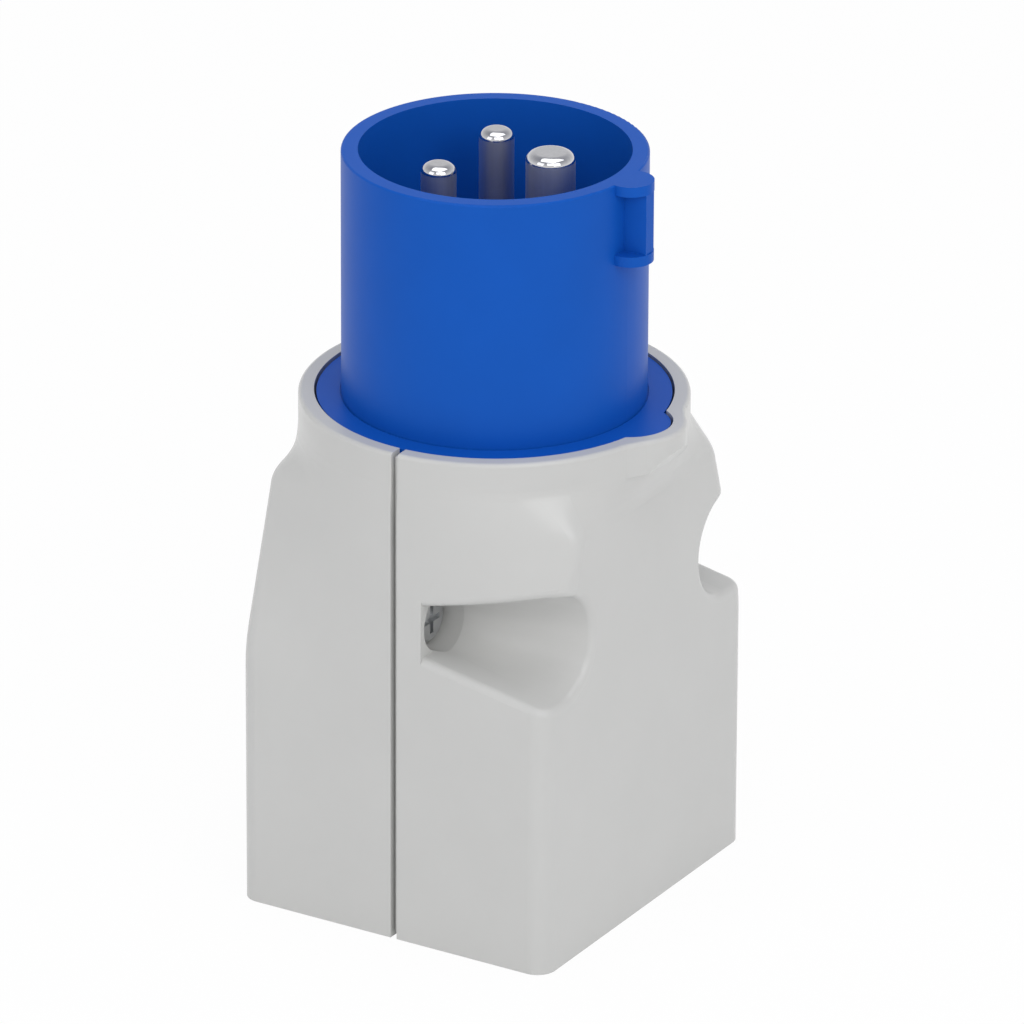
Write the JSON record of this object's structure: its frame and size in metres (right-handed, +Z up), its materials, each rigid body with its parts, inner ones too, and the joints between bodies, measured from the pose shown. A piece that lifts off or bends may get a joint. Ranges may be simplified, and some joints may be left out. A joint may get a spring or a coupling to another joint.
{
  "type": "plug adapter",
  "caption": "Plug adapter: round blue industrial pin-and-sleeve plug on a grey two-part housing with an earthed household socket in its bottom face.",
  "frame": {"origin": "on the plug sleeve's axis, in the plane of the housing's bottom face", "axes": "+Z up along the plug sleeve towards its rim, +X towards the latch lug and the screw pockets"},
  "size_m": [0.0582, 0.056, 0.1126],
  "materials": {
    "housing_grey": "fine satin grain",
    "sleeve_blue": "smooth satin",
    "pin_nickel": "nickel plated brass, polished",
    "screw_steel": "zinc plated",
    "insulator": "dull thermoset",
    "socket_plastic": "satin",
    "contact_brass": "plain brass",
    "spring_metal": "nickel plated spring strip",
    "wire_brown": "soft insulation",
    "wire_blue": "soft insulation",
    "wire_green_yellow": "green and yellow insulation"
  },
  "bodies": {
    "root": {"housing_left": "housing_grey", "housing_right": "housing_grey", "housing_screw_front": "screw_steel", "housing_screw_back": "screw_steel", "plug_sleeve": "sleeve_blue", "pin_live": "pin_nickel", "pin_neutral": "pin_nickel", "pin_earth": "pin_nickel", "pin_live_screw": "screw_steel", "pin_neutral_screw": "screw_steel", "pin_earth_screw": "screw_steel", "pin_plate": "insulator", "plate_screw_1": "screw_steel", "plate_screw_2": "screw_steel", "plate_screw_3": "screw_steel", "socket_cup": "socket_plastic", "contact_carrier": "insulator", "contact_live": "contact_brass", "contact_neutral": "contact_brass", "contact_live_screw": "screw_steel", "contact_neutral_screw": "screw_steel", "earth_strap": "spring_metal", "earth_terminal": "contact_brass", "earth_terminal_screw": "screw_steel", "socket_screw": "screw_steel", "wire_live": "wire_brown", "wire_neutral": "wire_blue", "wire_earth": "wire_green_yellow"}
  },
  "joints": []
}
